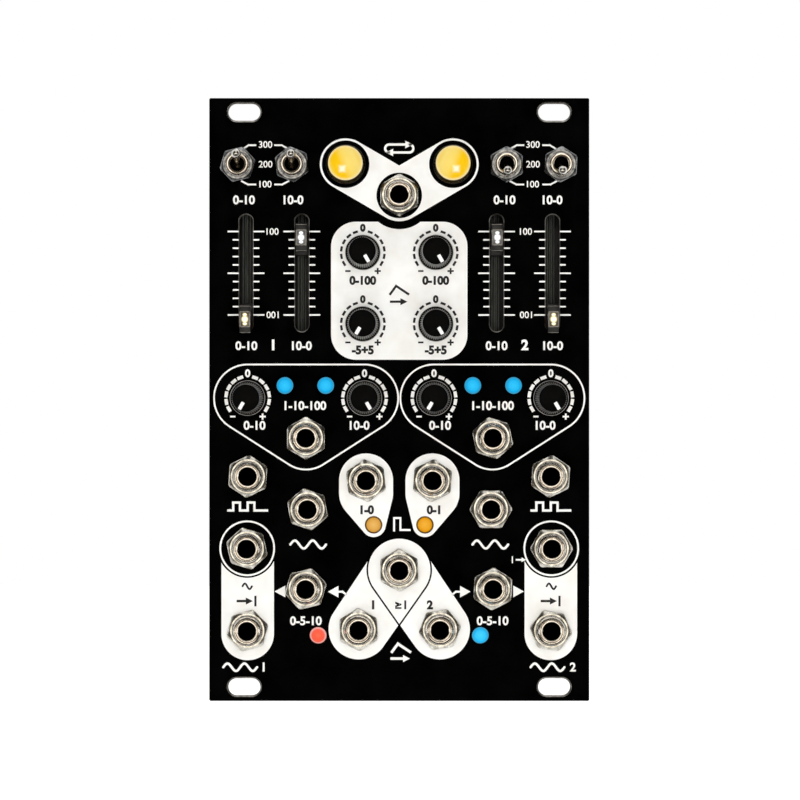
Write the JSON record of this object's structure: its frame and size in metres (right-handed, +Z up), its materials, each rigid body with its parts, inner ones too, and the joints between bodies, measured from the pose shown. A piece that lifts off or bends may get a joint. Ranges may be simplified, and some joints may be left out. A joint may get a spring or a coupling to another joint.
{
  "type": "eurorack module",
  "caption": "Synthesizer rack module: black panel with knobs, lit slide levers, toggles, lit push buttons, lamps and patch sockets over two stacked circuit boards with a rear power header.",
  "frame": {"origin": "on the panel's back face, midway between the two upper rack screws", "axes": "+Z up the panel, +Y from the player into the rack, +X to the player's right"},
  "size_m": [0.081, 0.0429, 0.1285],
  "materials": {
    "panel": "satin black coated aluminium with white print",
    "board": "solder mask over glass fibre board",
    "plastic": "moulded black plastic",
    "knob": "satin moulded black plastic with a white pointer",
    "nickel": "nickel plated brass, turned",
    "polished": "polished nickel plate",
    "lens": "clear moulded lens, lit white",
    "yellow": "translucent amber yellow cap, lit",
    "blue": "lit blue lamp",
    "orange": "lit orange lamp",
    "red": "lit red lamp",
    "brass": "turned brass spacer and steel screw"
  },
  "bodies": {
    "root": {"front_panel": "panel", "control_board": "board", "main_board": "board", "power_header": "plastic", "standoff_upper": "brass", "standoff_lower": "brass", "jack_cycle": "nickel", "jack_time_a": "nickel", "jack_time_b": "nickel", "jack_trigger_a": "nickel", "jack_trigger_b": "nickel", "jack_follow_a": "nickel", "jack_follow_b": "nickel", "jack_rise_end": "nickel", "jack_fall_end": "nickel", "jack_signal_in_a": "nickel", "jack_signal_in_b": "nickel", "jack_signal_out_a": "nickel", "jack_signal_out_b": "nickel", "jack_gain_a": "nickel", "jack_gain_b": "nickel", "jack_mix": "nickel", "jack_curve_a": "nickel", "jack_curve_b": "nickel", "slider_body_rise_a": "plastic", "slider_body_fall_a": "plastic", "slider_body_rise_b": "plastic", "slider_body_fall_b": "plastic", "toggle_switch_rise_a": "nickel", "toggle_switch_fall_a": "nickel", "toggle_switch_rise_b": "nickel", "toggle_switch_fall_b": "nickel", "button_switch_a": "plastic", "button_switch_b": "plastic", "lamp_rise_a": "blue", "lamp_fall_a": "blue", "lamp_rise_b": "blue", "lamp_fall_b": "blue", "lamp_rise_end": "orange", "lamp_fall_end": "orange", "lamp_gain_a": "red", "lamp_gain_b": "blue"},
    "knob_rise_a": {"knob_rise_a": "knob"},
    "knob_fall_a": {"knob_fall_a": "knob"},
    "knob_rise_b": {"knob_rise_b": "knob"},
    "knob_fall_b": {"knob_fall_b": "knob"},
    "knob_level_a": {"knob_level_a": "knob"},
    "knob_level_b": {"knob_level_b": "knob"},
    "knob_offset_a": {"knob_offset_a": "knob"},
    "knob_offset_b": {"knob_offset_b": "knob"},
    "slider_rise_a": {"slider_lever_rise_a": "lens"},
    "slider_fall_a": {"slider_lever_fall_a": "lens"},
    "slider_rise_b": {"slider_lever_rise_b": "lens"},
    "slider_fall_b": {"slider_lever_fall_b": "lens"},
    "toggle_rise_a": {"toggle_lever_rise_a": "polished"},
    "toggle_fall_a": {"toggle_lever_fall_a": "polished"},
    "toggle_rise_b": {"toggle_lever_rise_b": "polished"},
    "toggle_fall_b": {"toggle_lever_fall_b": "polished"},
    "button_a": {"button_cap_a": "yellow"},
    "button_b": {"button_cap_b": "yellow"}
  },
  "joints": [
    {"name": "knob_rise_a_turn", "type": "hinge", "parent": "root", "child": "knob_rise_a", "pos_m": [-0.0323, -0.008, -0.06095], "axis": [0, -1, 0], "range_deg": [-300, 0]},
    {"name": "knob_fall_a_turn", "type": "hinge", "parent": "root", "child": "knob_fall_a", "pos_m": [-0.0074, -0.008, -0.06095], "axis": [0, -1, 0], "range_deg": [0, 300]},
    {"name": "knob_rise_b_turn", "type": "hinge", "parent": "root", "child": "knob_rise_b", "pos_m": [0.0074, -0.008, -0.06095], "axis": [0, -1, 0], "range_deg": [-300, 0]},
    {"name": "knob_fall_b_turn", "type": "hinge", "parent": "root", "child": "knob_fall_b", "pos_m": [0.0323, -0.008, -0.06095], "axis": [0, -1, 0], "range_deg": [0, 300]},
    {"name": "knob_level_a_turn", "type": "hinge", "parent": "root", "child": "knob_level_a", "pos_m": [-0.00777, -0.008, -0.02995], "axis": [0, -1, 0], "range_deg": [0, 300]},
    {"name": "knob_level_b_turn", "type": "hinge", "parent": "root", "child": "knob_level_b", "pos_m": [0.00777, -0.008, -0.02995], "axis": [0, -1, 0], "range_deg": [0, 300]},
    {"name": "knob_offset_a_turn", "type": "hinge", "parent": "root", "child": "knob_offset_a", "pos_m": [-0.00777, -0.008, -0.04516], "axis": [0, -1, 0], "range_deg": [-300, 0]},
    {"name": "knob_offset_b_turn", "type": "hinge", "parent": "root", "child": "knob_offset_b", "pos_m": [0.00777, -0.008, -0.04516], "axis": [0, -1, 0], "range_deg": [0, 300]},
    {"name": "slider_rise_a_slide", "type": "slide", "parent": "root", "child": "slider_rise_a", "axis": [0, 0, 1], "range_m": [0, 0.02]},
    {"name": "slider_fall_a_slide", "type": "slide", "parent": "root", "child": "slider_fall_a", "axis": [0, 0, 1], "range_m": [-0.0173, 0.0027]},
    {"name": "slider_rise_b_slide", "type": "slide", "parent": "root", "child": "slider_rise_b", "axis": [0, 0, 1], "range_m": [-0.0173, 0.0027]},
    {"name": "slider_fall_b_slide", "type": "slide", "parent": "root", "child": "slider_fall_b", "axis": [0, 0, 1], "range_m": [0, 0.02]},
    {"name": "toggle_rise_a_tilt", "type": "hinge", "parent": "root", "child": "toggle_rise_a", "pos_m": [-0.0344, -0.004, -0.0112], "axis": [-1, 0, 0], "range_deg": [-28, 0]},
    {"name": "toggle_fall_a_tilt", "type": "hinge", "parent": "root", "child": "toggle_fall_a", "pos_m": [-0.02286, -0.004, -0.0112], "axis": [-1, 0, 0], "range_deg": [-28, 0]},
    {"name": "toggle_rise_b_tilt", "type": "hinge", "parent": "root", "child": "toggle_rise_b", "pos_m": [0.02286, -0.004, -0.0112], "axis": [-1, 0, 0], "range_deg": [0, 28]},
    {"name": "toggle_fall_b_tilt", "type": "hinge", "parent": "root", "child": "toggle_fall_b", "pos_m": [0.0344, -0.004, -0.0112], "axis": [-1, 0, 0], "range_deg": [0, 28]},
    {"name": "button_a_press", "type": "slide", "parent": "root", "child": "button_a", "axis": [0, 1, 0], "range_m": [0, 0.0015], "stiffness_N_per_m": 200},
    {"name": "button_b_press", "type": "slide", "parent": "root", "child": "button_b", "axis": [0, 1, 0], "range_m": [0, 0.0015], "stiffness_N_per_m": 200}
  ]
}
